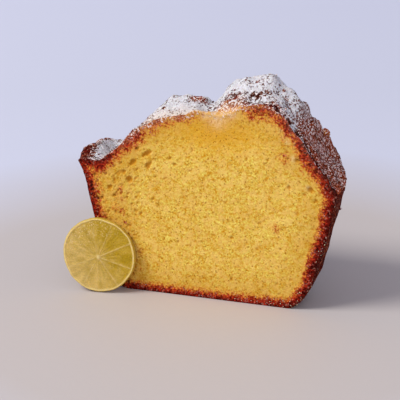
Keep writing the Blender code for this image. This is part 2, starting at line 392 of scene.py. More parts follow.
# --- Meshes from arrays ---
def build_mesh(name, points, loops, values=None, smooth=True):
    """A mesh object from points (n, 3) and polygons, given as rows of vertex numbers with
    -1 in unused places; unused points are dropped. values maps an attribute's name to a
    number for each point."""
    used = np.unique(loops[loops >= 0])
    renumber = np.full(len(points) + 1, -1)
    renumber[used] = np.arange(len(used))
    loops = renumber[loops]
    count = (loops >= 0).sum(axis=1)
    mesh = bpy.data.meshes.new(name)
    mesh.vertices.add(len(used))
    mesh.vertices.foreach_set("co", points[used].astype(np.float32).ravel())
    mesh.loops.add(int(count.sum()))
    mesh.loops.foreach_set("vertex_index", loops[loops >= 0].astype(np.int32))
    mesh.polygons.add(len(count))
    starts = np.concatenate([[0], np.cumsum(count)[:-1]])
    mesh.polygons.foreach_set("loop_start", starts.astype(np.int32))
    mesh.update(calc_edges=True)
    if mesh.validate():
        raise RuntimeError(f"{name}: the mesh had invalid faces")
    for key, numbers in (values or {}).items():
        layer = mesh.attributes.new(key, "FLOAT", "POINT")
        layer.data.foreach_set("value", numbers[used].astype(np.float32))
    mesh.polygons.foreach_set("use_smooth", np.full(len(count), smooth))
    made = bpy.data.objects.new(name, mesh)
    bpy.context.scene.collection.objects.link(made)
    return made


def sheet_cells(ids, step_a=1, step_b=1, split=(), turned=False):
    """Polygons of a sheet of vertex numbers, step_a by step_b lattice steps each. Along a
    side named in split they keep the lattice's own vertices, so that a finer sheet
    closes against it without a gap."""
    c = ids[::step_a, ::step_b]
    loop = np.full((c.shape[0] - 1, c.shape[1] - 1, 8), -1)
    loop[..., 0], loop[..., 2] = c[:-1, :-1], c[1:, :-1]
    loop[..., 4], loop[..., 6] = c[1:, 1:], c[:-1, 1:]
    if "b_low" in split:
        loop[:, 0, 1] = ids[step_a // 2 :: step_a, 0]
    if "a_high" in split:
        loop[-1, :, 3] = ids[-1, step_b // 2 :: step_b]
    if "b_high" in split:
        loop[:, -1, 5] = ids[step_a // 2 :: step_a, -1]
    if "a_low" in split:
        loop[0, :, 7] = ids[0, step_b // 2 :: step_b]
    loop = loop.reshape(-1, 8)
    return loop[:, ::-1] if turned else loop


def ball_cells(rings, round_count):
    """Polygons of a closed shape of rings of vertices between two poles. The vertices are
    numbered ring by ring, then the pole before the first ring and the one after the last."""
    ids = np.arange(rings * round_count).reshape(rings, round_count)
    walls = sheet_cells(np.concatenate([ids, ids[:, :1]], axis=1))
    first, last = rings * round_count, rings * round_count + 1
    fans = np.full((2, round_count, 8), -1)
    fans[0, :, 0], fans[0, :, 1], fans[0, :, 2] = first, ids[0], np.roll(ids[0], -1)
    fans[1, :, 0], fans[1, :, 1], fans[1, :, 2] = last, np.roll(ids[-1], -1), ids[-1]
    return np.concatenate([walls, fans.reshape(-1, 8)])


# --- The loaf ---
def loaf_lattice():
    """Vertex numbers of the places on a box's surface, -1 inside it, with their u, v, w."""
    steps = [np.linspace(0, 1, n + 1) for n in CELLS]
    steps[1] = steps[1] ** CROWDING
    u, v, w = np.meshgrid(*steps, indexing="ij")
    edge = (u == 0) | (u == 1) | (v == 0) | (v == 1) | (w == 0) | (w == 1)
    ids = np.full(u.shape, -1)
    ids[edge] = np.arange(edge.sum())
    return ids, 2 * u[edge] - 1, v[edge], w[edge]


def skin_normals(points, ids):
    """Unit normals of the five baked sides: cross products of the steps along each side's
    two directions, turned outward and added up where sides meet."""
    total = np.zeros_like(points)
    sides = ((ids[:, :, -1], 1), (ids[0], -1), (ids[-1], 1), (ids[:, -1], -1), (ids[:, :, 0], -1))
    for side, sign in sides:
        grid = points[side]
        normal = np.cross(np.gradient(grid, axis=0), np.gradient(grid, axis=1)) * sign
        np.add.at(total, side.ravel(), normal.reshape(-1, 3))
    return total / np.maximum(np.linalg.norm(total, axis=1, keepdims=True), 1e-12)


def nearest_on(line, x, z):
    """Distance from each place to the nearest point of a line, and that point's number."""
    gap, index = np.empty(len(x)), np.empty(len(x), int)
    for rows in np.array_split(np.arange(len(x)), 40):
        away = (x[rows, None] - line[:, 0]) ** 2 + (z[rows, None] - line[:, 2]) ** 2
        index[rows] = away.argmin(axis=1)
        gap[rows] = np.sqrt(away.min(axis=1))
    return gap, index


def skin_relief(points, up):
    """Height of the crust's relief: noise of three sizes, livelier on the top than on the
    walls that the pan smoothed, and on the top round knobs, minus round dents and pits."""
    x, deep = points[:, 0], points[:, 1] + BASE_MIDDLE
    top = ease(0.0, 0.6, up)
    rough = sum(tall * value_noise(points, size, seed) for tall, size, seed in CRUST_NOISES)
    tall, size, seed = CRUST_SWELL
    rough = rough + tall * top * value_noise(points, size, seed)
    knobs, dents = round_dents(x, deep, *CRUST_KNOBS), round_dents(x, deep, *CRUST_DENTS)
    coarse = 0.5 * knobs - 0.5 * dents - PIT_DEPTH * spots(x, deep, PITS)
    return (0.40 + 0.60 * top) * rough + top * coarse


def crumb_dents(x, z):
    """Depth of the hollows in the cut crumb, and of a gentle unevenness left by the knife.
    The hollows are long holes, round pores of two sizes, and more pores at the left, below
    the lip. Noise shifts the places, so no hollow is a clean oval."""
    flat = np.stack([x, np.zeros_like(x), z], -1)
    bent_x = x + CRUMB_BEND * value_noise(flat, 0.0010, seed=15)
    bent_z = z + CRUMB_BEND * value_noise(flat, 0.0010, seed=16)
    large, small, left = (
        round_dents(bent_x, bent_z, *pores) for pores in (LARGE_PORES, SMALL_PORES, LEFT_PORES)
    )
    left = left * ease(-0.030, -0.038, x) * ease(0.062, 0.054, z)
    holes = np.max([long_holes(bent_x, bent_z), 0.7 * large, 0.6 * small, left], axis=0)
    uneven = 0.00012 * (1 + value_noise(flat, 0.0090, seed=7))
    return holes, uneven + 0.00006 * (1 + value_noise(flat, 0.0011, seed=8))


def band_at(x, side, rise):
    """Darkness, thickness and power of the baked band next to places of the cut's outline:
    those of the four sides, weighted by the squares of the outward direction's parts, where
    half of an upward part is taken off the left and the right side first."""
    upward = np.clip(rise, 0, 1)
    shares = np.clip([-side - 0.5 * upward, side - 0.5 * upward, -rise, rise], 0, 1) ** 2
    shares = shares / np.maximum(shares.sum(axis=0), 1e-6)
    tables = (BAND_LEFT, BAND_RIGHT, BAND_FOOT, BAND_TOP)
    return [sum(w * read_along(t, x, k) for w, t in zip(shares, tables)) for k in (2, 1, 3)]


def top_sugar(x, deep):
    """Share of sugar on the top: the SUGAR table, eased between its three depths and thinner
    towards the end wall, plus the heaps and bare patches as soft spots."""
    near, mid, far = (read_along(SUGAR, x, k) for k in (1, 2, 3))
    far = far * (1 - 0.30 * ease(0.022, 0.042, deep))
    share = near + (mid - near) * ease(0.001, 0.006, deep) + (far - mid) * ease(0.006, 0.014, deep)
    for *place, change in HEAPS:
        share = share + change * spot(x, deep, *place)
    return np.clip(share, 0, 1)


def loaf_surface():
    """The loaf's points with their fine relief, its polygons, and what colours each point:
    depth into the baked band, sugar, powder, painted shade in hollows, golden or pale crumb,
    and distance from the outline.

    The skin moves along its normals. The cut's outline moves only in its own plane, and
    the cut face follows it, less with the squared distance over CUT_FADE."""
    ids, u, v, w = loaf_lattice()
    points = np.stack(loaf_points(u, v, w), -1)
    normal = skin_normals(points, ids)
    skin = (np.abs(u) == 1) | (v == 1) | (w == 0) | (w == 1)
    face = v == 0
    x, deep, z = points[:, 0], points[:, 1] + BASE_MIDDLE, points[:, 2]
    side, up = normal[:, 0], normal[:, 2]

    # how baked the skin is: as the cut's band at the edge, darker a few millimetres behind
    on_top = ease(-0.1, 0.4, up)
    at_cut = band_at(x, side, up)[0]
    top_bake = np.maximum(read_along(TOP_BAKE, x), BACK_BAKE * ease(0.004, 0.010, deep))
    behind = WALL_BAKE + (top_bake - WALL_BAKE) * on_top
    bake = at_cut + (behind - at_cut) * ease(0.0003, 0.0034, deep)
    patches = value_noise(points, 0.0060, seed=9)

    # the skin's relief, and the sugar on what looks up, less of it in hollows and pits
    relief = skin_relief(points, up)
    pit = ease(0.25, 0.7, spots(x + 0.0004 * patches, deep, PITS)) * on_top
    hollow = np.maximum(ease(0.0002, 0.0009, -relief), pit)
    calm = ease(0, 0.002, z) * skin
    outward = relief - CRUST_SINK + LEFT_GROWTH * np.clip(-side, 0, 1) * (1 - on_top)
    shift = normal * (outward * calm)[:, None]
    facing = skin_normals(points + shift, ids)[:, 2] - up
    sugar = top_sugar(x, deep) * ease(-0.15, 0.35, up) * ease(0.85, 0.98, w)
    sugar = sugar * (1 - 0.5 * hollow) * (1 - pit)
    sugar = np.clip(sugar * (1 + 0.22 * patches + 0.9 * facing), 0, 1)
    shift[face, 1] = 0

    # the cut: each point knows its gap to the outline and what the outline is like there
    edge = np.flatnonzero(face & skin)
    inner = np.flatnonzero(face)
    gap, index = nearest_on(points[edge], x[inner], z[inner])
    near = edge[index]
    shift[inner] = shift[near] * bell(gap / CUT_FADE)[:, None]
    face_x, face_z, rise = x[inner], z[inner], up[near]
    dark, thick, power = band_at(x[near], side[near], rise)
    share = gap / thick
    holes, uneven = crumb_dents(face_x, face_z)
    inside = ease(0.0002, 0.0016, gap)
    shift[inner, 1] = (0.7 * holes + uneven) * inside

    # colours: depth below 0.5 is dark crust, above 1 plain crumb
    depth = 1 - bake + 0.10 * patches
    flat = points[inner] * (1, 0, 1)
    blotches = value_noise(flat, 0.0024, seed=18) * ease(0.2, 0.7, rise) * ease(1.5, 0.9, share)
    depth[inner] = 1 - dark * (1 - share**power) + 0.3 * np.clip(share - 1, 0, 1) + 0.13 * blotches
    bend = 0.0009 * value_noise(flat, 0.0012, seed=17)
    for *place, tone in FLECKS:
        reach = spot(face_x + bend, face_z - bend, *place)
        depth[inner] = np.minimum(depth[inner], 1.4 - (1.4 - tone) * reach)
    veil = read_along(VEIL, x) * on_top * (1 - pit) * bell(deep / VEIL_DEPTH)
    veil = veil * ease(0.019, 0.013, x)
    powder = read_along(VEIL, x[near]) * ease(0.0, 0.5, rise) * bell(gap / VEIL_REACH)
    sugar[inner] = 0.55 * powder
    veil[inner] = np.maximum(0.60 * powder, 0.58 * spots(face_x, face_z, POWDER_SPOTS))
    # painted shade: this mask darkens the crust's hollows and pits and the crumb's holes
    hollow_shade = hollow * skin
    hollow_shade[inner] = np.clip(holes / 0.0007, 0, 1) * inside
    golden = bell((x - GOLD_AT[0]) / GOLD_HALF[0], (z - GOLD_AT[1]) / GOLD_HALF[1]) * face
    golden[inner] -= spots(face_x, face_z, CREAM_SPOTS)
    heart = np.zeros_like(depth)
    heart[inner] = ease(0.001, 0.022, gap) * (1 - 0.7 * ease(-0.026, -0.044, face_x))

    loops = [
        sheet_cells(ids[:, 0]),
        sheet_cells(ids[:, :, -1]),
        sheet_cells(ids[-1], 1, 2, ("a_low",)),
        sheet_cells(ids[0], 1, 2, ("a_low",), turned=True),
        sheet_cells(ids[:, -1], 2, 2, ("b_high",), turned=True),
        sheet_cells(ids[:, :, 0], 2, 2, ("b_low", "a_low", "a_high"), turned=True),
    ]
    values = {"depth": depth, "sugar": sugar, "veil": veil, "hollow_shade": hollow_shade}
    values |= {"golden": golden, "heart": heart}
    return inside_box(points + shift), np.concatenate(loops), values, normal


def inside_box(points):
    """The points, moved to the cake's box where they lie outside it."""
    low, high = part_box("cake")
    return np.clip(points, low, high)


# --- Crumbs and sugar crystals ---
def many_balls(centres, radii, rings, round_count, lumpy, seed):
    """Small closed grains, one at each centre: ellipsoids of the given radii (n, 3), each
    turned at random, their points moved out or in by up to the lumpy share."""
    rng = np.random.RandomState(seed)
    alpha = np.linspace(0, math.pi, rings + 2)[1:-1, None]
    theta = np.linspace(0, 2 * math.pi, round_count, endpoint=False)[None]
    across = np.sin(alpha)
    form = np.stack([across * np.cos(theta), across * np.sin(theta), np.cos(alpha) + 0 * theta], -1)
    form = np.concatenate([form.reshape(-1, 3), [[0, 0, 1], [0, 0, -1]]])
    count = len(centres)
    turn, _ = np.linalg.qr(rng.normal(size=(count, 3, 3)))
    turn *= np.linalg.det(turn)[:, None, None]
    bumps = 1 + lumpy * rng.uniform(-1, 1, (count, len(form), 1))
    points = (form * bumps * radii[:, None]) @ turn + centres[:, None]
    cells = ball_cells(rings, round_count)
    offset = (np.arange(count) * len(form))[:, None, None]
    loops = np.where(cells >= 0, cells + offset, -1).reshape(-1, 8)
    return points.reshape(-1, 3), loops


def crystal_places(points, values):
    """Seats of the sugar crystals: random points of the baked band on the cut, most along
    the right half of the foot and the lower right edge."""
    rng = np.random.RandomState(21)
    x, y, z = points.T
    band = (y < -BASE_MIDDLE + 0.0015) & (values["depth"] < 0.75) & (z > 0.0006)
    foot = bell(z / 0.005) * ease(-0.01, 0.02, x)
    edge = 0.4 * (x > 0.03) * bell(z / 0.03)
    weight = band * (foot + edge + 0.02)
    seats = rng.choice(len(points), CRYSTALS, replace=False, p=weight / weight.sum())
    size = rng.uniform(*CRYSTAL_SIZES, (CRYSTALS, 1)) * rng.uniform(0.7, 1.2, (CRYSTALS, 3))
    return points[seats] + 0.3 * size.mean(axis=1, keepdims=True) * (0.0, -1.0, 0.0), size


def crumb_places(points, values, normal):
    """Seats of the loose crumbs: the table's places on the top and right side, found as the
    nearest point of the skin, and random ones on the top crust."""
    rng = np.random.RandomState(22)
    table = np.array(CRUMBS)
    away = ((points[None] - table[:, None, :3]) ** 2).sum(axis=-1)
    named = away.argmin(axis=1)
    loose = (values["sugar"] > 0.2) & (normal[:, 2] > 0.5) & (points[:, 1] > -0.012)
    seats = np.concatenate([named, rng.choice(np.flatnonzero(loose), LOOSE_CRUMBS, replace=False)])
    size = np.concatenate([table[:, 3], rng.uniform(*CRUMB_SIZES, LOOSE_CRUMBS)])
    tone = np.concatenate([table[:, 4], rng.uniform(*CRUMB_TONES, LOOSE_CRUMBS)])
    radii = size[:, None] * rng.uniform(0.7, 1.15, (len(size), 3))
    return points[seats] + 0.2 * size[:, None] * normal[seats], radii, tone


# --- The citrus slice ---
def slice_profile():
    """Radius and height along half a section of the slice: out along the front face, round
    two quarter circles at the rim, and in along the back face, without the two poles."""
    flat = SLICE_RADIUS - SLICE_EDGE
    half = SLICE_THICKNESS / 2 - SLICE_EDGE
    front = half + SLICE_EDGE
    bend = np.linspace(0, math.pi / 2, 7)[1:]
    out = np.linspace(0, flat, 64)[1:]
    rim = flat + SLICE_EDGE * np.sin(bend), half + SLICE_EDGE * np.cos(bend)
    back = np.linspace(flat, 0, 26)[:-1]
    radius = np.concatenate([out, rim[0], rim[0][::-1], back])
    height = np.concatenate([0 * out + front, rim[1], -rim[1][::-1], 0 * back - front])
    return radius, height


def slice_surface():
    """The slice's points, polygons and colour values. A membrane is a Gaussian ridge across
    a ray from the heart; the pulp sinks between the membranes, and its juice sacs are noise
    drawn out along the radius."""
    radius, height = slice_profile()
    turn = np.linspace(0, 2 * math.pi, SLICE_ROUND, endpoint=False)
    r, a = (g.ravel() for g in np.meshgrid(radius, turn, indexing="ij"))
    h = np.repeat(height, SLICE_ROUND)
    poles = (0, 0), (0, 0), (height[0], height[-1])
    r, a, h = (np.append(rings, ends) for rings, ends in zip((r, a, h), poles))
    stretch = 1 + SLICE_BULGE * np.clip(np.cos(a - BULGE_AT), 0, 1) ** 2
    x, y = r * stretch * np.cos(a), r * stretch * np.sin(a)
    share = r / SLICE_RADIUS

    far = np.hypot(x - SLICE_HEART[0], y - SLICE_HEART[1])
    way = np.arctan2(y - SLICE_HEART[1], x - SLICE_HEART[0])
    angles, strengths = np.array(MEMBRANES).T
    apart = way[None] - np.radians(angles)[:, None]
    off = np.where(np.cos(apart) > 0, far * np.abs(np.sin(apart)), 1)
    wall = (strengths[:, None] * bell(off / MEMBRANE_HALF)).max(axis=0)
    wall = np.maximum(wall, 1.8 * bell(far / HEART_HALF))
    around = value_noise(np.stack([5 * np.cos(a), 5 * np.sin(a), 0 * a], -1), 1.0, seed=33)
    pulp = 1 - ease(PITH_FROM - 0.03, PITH_FROM, share + WAVE_SHARE * around)
    sacs = value_noise(np.stack([9 * np.cos(way), 9 * np.sin(way), far / 0.0042], -1), 1.0, seed=31)
    fine = value_noise(np.stack([x, y, h], -1), 0.0007, seed=32)
    sink = PULP_SINK + SAC_RELIEF * sacs + FINE_RELIEF * fine
    sink = pulp * (1 - wall) * sink + FACE_SINK
    rim = ease(0.95, 1.0, share)
    inward = (RIM_FINE * (1 + fine) + RIM_WAVES * (1 + around)) * rim
    h = h - np.sign(h) * sink * (1 - rim)
    scale = 1 - inward / np.maximum(r, SLICE_EDGE)
    local = np.stack([x * scale, y * scale, h], -1)

    upright = Matrix.Rotation(math.pi / 2 - SLICE_LEAN, 3, "X")
    matrix = np.array(Matrix.Rotation(SLICE_YAW, 3, "Z") @ upright)
    points = local @ matrix.T
    low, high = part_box("lemon_slice")
    points += (SLICE_ACROSS, high.y - points[:, 1].max(), low.z - points[:, 2].min())
    values = {
        "peel": share + WAVE_SHARE * around * (1 - rim), "wall": wall, "sac": 0.5 + 0.5 * sacs,
        "side_x": x / SLICE_RADIUS, "side_y": y / SLICE_RADIUS,
    }
    return np.clip(points, low, high), ball_cells(len(radius), SLICE_ROUND), values


# --- Shader helpers ---
def srgb(red, green, blue):
    """Linear colour of a screen colour given as 0 to 255."""
    share = np.array([red, green, blue]) / 255
    return tuple(np.where(share < 0.04045, share / 12.92, ((share + 0.055) / 1.055) ** 2.4))


def math_node(operation, swapped=False):
    """A method that joins a wire and another value with a Math node."""

    def join(self, other):
        first, second = (other, self) if swapped else (self, other)
        return add_node(self.tree, "Math", {0: first, 1: second}, operation=operation)

    return join


class Wire:
    """An output in a shader tree. Sums, products and so on of wires are Math nodes."""

    __add__, __radd__ = math_node("ADD"), math_node("ADD", swapped=True)
    __sub__, __mul__ = math_node("SUBTRACT"), math_node("MULTIPLY")
    __rtruediv__ = math_node("DIVIDE", swapped=True)
    highest = math_node("MAXIMUM")

    def __init__(self, socket):
        self.socket, self.tree = socket, socket.id_data

    def other(self, port):
        """Another output of the same node."""
        return Wire(self.socket.node.outputs[port])

    def span(self, low, high, to_low=0.0, to_high=1.0):
        """The value mapped from low..high to to_low..to_high, clamped."""
        return add_node(self.tree, "MapRange", {0: self, 1: low, 2: high, 3: to_low, 4: to_high})

    def centred(self, size):
        """A 0..1 mask moved to lie around 0, times size."""
        return (self - 0.5) * size


def add_node(tree, kind, inputs=None, port=0, **settings):
    """One output of a new node, with its settings made and its inputs linked or set."""
    node = tree.nodes.new("ShaderNode" + kind)
    for key, value in settings.items():
        setattr(node, key, value)
    for key, value in (inputs or {}).items():
        socket = node.inputs[key]
        if isinstance(value, Wire):
            tree.links.new(value.socket, socket)
        else:
            socket.default_value = (*value[:3], 1) if socket.type == "RGBA" else value
    return Wire(node.outputs[port])


def mix(share, first, second):
    """The first colour where share is 0, the second where it is 1."""
    return add_node(share.tree, "Mix", {0: share, 6: first, 7: second}, 2, data_type="RGBA")


def layered(colour, *layers):
    """The colour with others laid over it in turn, each as (share, colour)."""
    for share, over in layers:
        colour = mix(share, colour, over)
    return colour


def brighten(colour, factor):
    """The colour with its value times the factor."""
    return add_node(colour.tree, "HueSaturation", {"Value": factor, "Color": colour})


def point_values(place, *names):
    """The piece's own point attributes of those names."""
    return [add_node(place.tree, "Attribute", port="Fac", attribute_name=name) for name in names]


def speckle_group():
    """Shader group: noise of a real size in metres, cut between two levels to a 0..1 mask."""
    tree = bpy.data.node_groups.get("speckle")
    if tree:
        return tree
    tree = bpy.data.node_groups.new("speckle", "ShaderNodeTree")
    tree.interface.new_socket("Place", in_out="INPUT", socket_type="NodeSocketVector")
    for name, default in (("Size", 0.001), ("Low", 0.3), ("High", 0.7)):
        made = tree.interface.new_socket(name, in_out="INPUT", socket_type="NodeSocketFloat")
        made.default_value = default
    tree.interface.new_socket("Mask", in_out="OUTPUT", socket_type="NodeSocketFloat")
    place, size, low, high = (Wire(given) for given in tree.nodes.new("NodeGroupInput").outputs[:4])
    noise = add_node(tree, "TexNoise", {"Vector": place, "Scale": 1.0 / size, "Detail": 2.0})
    mask = tree.nodes.new("NodeGroupOutput").inputs["Mask"]
    tree.links.new(noise.span(low, high).socket, mask)
    return tree


def speckle(place, size, low=0.3, high=0.7):
    """A speckle group node, set to a size and two levels."""
    inputs = {"Place": place, "Size": size, "Low": low, "High": high}
    return add_node(place.tree, "Group", inputs, node_tree=speckle_group())


def grains(place, size):
    """Two random numbers from 0 to 1 for each cell of a Voronoi pattern of a real size, its
    cells bent by noise."""
    tree = place.tree
    noise = add_node(tree, "TexNoise", {"Vector": place, "Scale": 1.2 / size}, "Color")
    sums = {0: noise, 1: (size,) * 3, 2: place}
    bent = add_node(tree, "VectorMath", sums, operation="MULTIPLY_ADD")
    cells = add_node(tree, "TexVoronoi", {"Vector": bent, "Scale": 1 / size}, "Color")
    red = add_node(tree, "SeparateColor", {0: cells})
    return red, red.other("Green")


def colour_ramp(value, stops):
    """A colour ramp read at value; each stop is (depth value, screen colour, cover)."""
    ramp = add_node(value.tree, "ValToRGB", {0: value})
    marks = ramp.socket.node.color_ramp.elements
    while len(marks) < len(stops):
        marks.new(0.5)
    for mark, (depth, colour, cover) in zip(marks, stops):
        mark.position = (depth - RAMP_LOW) / (RAMP_HIGH - RAMP_LOW)
        mark.color = (*srgb(*colour), cover)
    return ramp


def new_material(name, **sockets):
    """A material and the object coordinates in its tree, with the shader's plain numbers
    set on its own sockets."""
    material = bpy.data.materials.new(name)
    material.use_nodes = True
    shader = material.node_tree.nodes["Principled BSDF"]
    for key, value in sockets.items():
        shader.inputs[key.replace("_", " ")].default_value = value
    return material, add_node(material.node_tree, "TexCoord", port="Object")


def finish_surface(material, colour, roughness, height, rise):
    """Joins colour, roughness and a bump of the height times rise, in metres."""
    tree = material.node_tree
    bump = add_node(tree, "Bump", {"Strength": 1.0, "Distance": rise, "Height": height})
    shader = tree.nodes["Principled BSDF"]
    for key, wire in (("Base Color", colour), ("Roughness", roughness), ("Normal", bump)):
        tree.links.new(wire.socket, shader.inputs[key])
    return material


# --- Materials: the bare numbers are levels of values and masks, and shares of colours ---
def baked_cake_material(look):
    """Crumb, baked band and crust by the depth value, with painted shade in hollows, dusted by
    sugar.
    """
    material, place = new_material(
        "baked_cake", Subsurface_Weight=0.06, Subsurface_Radius=(1.0, 0.5, 0.2),
        Subsurface_Scale=0.0012, Specular_IOR_Level=0.01,
    )
    broad, clumps, medium, small, fine, coarse = (speckle(place, *row) for row in CAKE_SPECKLES)
    grain, chance = grains(place, GRAIN_SIZE)
    depth, hollow_shade, veil, golden, heart, sugar = point_values(
        place, "depth", "hollow_shade", "veil", "golden", "heart", "sugar"
    )

    mottle = 0.5 + fine.centred(0.30) + coarse.centred(0.42) + grain.centred(0.56)
    hue = clumps * 0.5 + medium * 0.5
    crumb = layered(
        mix(mottle, look.crumb_dark, look.crumb_light),
        (hue.span(0.38, 0.68, 0, 0.62), look.crumb_cream),
        (broad.span(0, 1, 0.25, 0), look.crumb_dark),
        (golden.span(0, 1, 0, 0.8), look.crumb_gold),
        (golden.span(0, -1) * mottle, look.crumb_pale),
        (heart.span(0, 0.9, 0.45, 0), look.crumb_edge),
        (chance.span(0.88, 0.98) * heart.span(0, 0.12, 0.38, 0.64), look.crumb_speck),
        # painted shade inside the crumb's holes
        (hollow_shade * 0.80, look.crumb_pore_shade),
    )

    ragged = depth + medium.centred(0.26) + small.centred(0.24) + fine.centred(0.14)
    baked = colour_ramp(ragged.span(RAMP_LOW, RAMP_HIGH), BAKED_STOPS)
    cover = baked.other("Alpha")
    swing = grain.centred(0.85) + coarse.centred(0.85) + fine.centred(0.2)
    skin = brighten(baked, 1.03 + swing * depth.span(0.40, 0.80, 1.0, 0.40))
    # pale grains of the baked band, partly painted glints (highlights)
    glints = chance.span(0.86, 0.95) * 0.26
    # painted shade in the crust's hollows and pits, then the glints
    skin = layered(skin, (hollow_shade * 0.8, look.crust_hollow_shade), (glints, look.glint))

    # the sugar lies where its amount, made gritty by noise, passes a level
    amount = sugar * look.sugar_amount
    squeezed = add_node(place.tree, "VectorMath", {0: place, 1: CREASE_SCALE}, operation="MULTIPLY")
    creases = speckle(squeezed, 0.0007, 0.28, 0.46) - 0.85
    creases = creases * amount.span(0.4, 0.7, 0.0, 0.6)
    grit = grain.centred(0.70) + coarse.centred(0.90) + fine.centred(0.30) + creases
    gritty = speckle(place, 0.0048, 0.44, 0.60) * 0.75
    gritty = gritty.highest(amount.span(0.35, 0.60, 1.0, 0.0))
    grit = grit * gritty.span(0, 1, 0.32, 1.45)
    level = amount.span(0.0, 0.10) * (amount + grit + gritty.span(0, 1, 0.10, -0.08))
    mask = level.span(0.40, 0.60, 0.0, 0.97)
    # painted shade: the powder is mottled between the sugar colour and a darker shaded sugar colour
    powder = mix(mottle, look.sugar_shade, look.sugar)
    powder = mix(amount.span(0.2, 0.6, 0.9, 0.0), powder, look.sugar_thin)
    colour = layered(
        crumb,
        (cover, skin),
        (amount.span(0.32, 0.60, 0.0, 0.70), look.crust_dusted),
        (mask, powder),
        (veil * mottle.span(0.2, 0.8, 0.5, 1.5), look.veil),
    )
    height = (fine * 0.6 + small * 0.7) * cover.span(0, 1, 0.35, 1.0) + mask * 0.55
    return finish_surface(material, colour, mask.span(0, 1, 0.75, 0.92), height, rise=0.00030)


def sugar_crystal_material(look):
    """Clear-white grains with a faint grey to gold variation."""
    material, place = new_material("sugar_crystal", Subsurface_Weight=0.3, Subsurface_Scale=0.0006)
    tone = speckle(place, 0.0012)
    colour = mix(tone * 0.45, look.crystal, look.crumb_light)
    return finish_surface(material, colour, tone.span(0, 1, 0.2, 0.4), tone, rise=0.00003)


def citrus_material(look):
    """Zest, pith, membranes and juicy pulp from the slice's own values."""
    material, place = new_material(
        "citrus_slice", Subsurface_Weight=0.35, Subsurface_Radius=(1.0, 0.8, 0.3),
        Subsurface_Scale=0.0018, Specular_IOR_Level=0.20, Coat_Weight=0.06, Coat_Roughness=0.25,
    )
    fine, patchy = speckle(place, 0.0006), speckle(place, 0.0030)
    side_x, side_y, sac, wall, peel = point_values(place, "side_x", "side_y", "sac", "wall", "peel")
    slanted = side_x * 0.6 + side_y * 0.40 + patchy.centred(0.45)
    pulp = mix(slanted.span(-0.55, 0.35), look.pulp_pale, look.pulp_deep)
    pulp = mix(sac.span(0.2, 0.9, 0.0, 0.10), pulp, look.membrane)
    pulp = brighten(pulp, sac.span(0.15, 0.85, 0.88, 1.07) + fine.centred(0.24))
    # painted highlights: pale specks on the upper left of the pulp, where the light falls
    upper_left = side_x * -0.5 + side_y * 0.9
    upper_left_highlights = speckle(place, 0.0008, 0.55, 0.68) * upper_left.span(0.25, 0.75, 0.04, 0.7)
    broken = speckle(place, 0.0016).span(0, 1, 0.25, 0.80)
    pith = mix(fine.span(0, 1, 0, 0.5), look.pith, look.pulp_pale)
    zest = mix(patchy.span(0, 1, 0, 0.5), look.zest, look.pulp_deep)
    colour = layered(
        pulp,
        (upper_left_highlights, look.membrane),
        (wall * broken, look.membrane),
        (wall.span(1.0, 1.7, 0, 0.9), look.pith),
        (peel.span(PITH_FROM - 0.025, PITH_FROM + 0.015), pith),
        (peel.span(0.955, 0.99), zest),
    )
    roughness = peel.span(PITH_FROM - 0.02, PITH_FROM + 0.01, 0.32, 0.5)
    return finish_surface(material, colour, roughness, sac + fine, rise=0.00014)


def floor_material(look):
    """A pale floor, warm beige round the middle and cooler further out."""
    material, place = new_material("pale_floor", Specular_IOR_Level=0.2)
    far = add_node(place.tree, "VectorMath", {0: place}, "Value", operation="LENGTH")
    drift = far + speckle(place, 0.2).span(0, 1, -0.01, 0.01)
    colour = mix(drift.span(0.13, 0.24), look.near, look.far)
    colour = mix(far.span(0.4, 1.2), colour, look.farthest)
    grain = speckle(place, 0.004)
    return finish_surface(material, colour, grain.span(0, 1, 0.55, 0.6), grain, rise=0.00002)


# --- What a user may change ---
def tint(name, text, *colour):
    """A colour property with a screen colour as its default."""
    return FloatVectorProperty(
        name=name, description=text, subtype="COLOR", size=3, min=0, max=1, default=srgb(*colour)
    )


def watts(name, text, power):
    """A property for the power of a light."""
    return FloatProperty(
        name=name, description=text, subtype="POWER", unit="POWER", min=0, default=power
    )


class LoafSettings(PropertyGroup):
    """Colours of the loaf and the amount of sugar on it."""

    crumb_light: tint("Light crumb", "Lightest colour of the crumb", 255, 234, 112)
    crumb_dark: tint("Dark crumb", "Darkest colour of the crumb's mottling", 210, 138, 4)
    crumb_cream: tint("Cream crumb", "Colour of the crumb's paler clumps", 253, 211, 114)
    crumb_pale: tint("Pale spot", "Colour of the crumb's palest spots", 255, 236, 180)
    crumb_gold: tint("Golden crumb", "Crumb colour under the crack", 240, 174, 40)
    crumb_speck: tint("Crumb speck", "Colour of the crumb's small specks", 160, 96, 0)
    # painted shade inside the crumb's holes
    crumb_pore_shade: tint("Pore", "Colour inside the crumb's hollows", 196, 126, 24)
    crumb_edge: tint("Edge crumb", "Crumb colour next to the baked band", 198, 138, 36)
    # painted shade in the crust's hollows and pits
    crust_hollow_shade: tint("Dark crust", "Colour in the hollows of the crust", 58, 30, 22)
    crust_dusted: tint("Dusted crust", "Crust between heaps of sugar", 118, 90, 82)
    # pale grains of the band, partly painted glints (highlights)
    glint: tint("Glint", "Small pale grains in the baked band", 236, 176, 150)
    veil: tint("Powder veil", "Thin powder on the crumb below the top", 250, 208, 156)
    sugar: tint("Sugar", "Colour of the dusted sugar", 238, 240, 239)
    # painted shade mottled into the sugar, darker than the sugar itself
    sugar_shade: tint("Sugar shade", "Thinner sugar between the heaps", 212, 199, 196)
    sugar_thin: tint("Thin sugar", "Sugar that the crust shows through", 255, 227, 214)
    crystal: tint("Crystal", "Colour of the sugar crystals", 240, 214, 204)
    sugar_amount: FloatProperty(
        name="Sugar amount", description="Share of the measured dusting", default=1.0,
        min=0.0, max=1.5, subtype="FACTOR",
    )


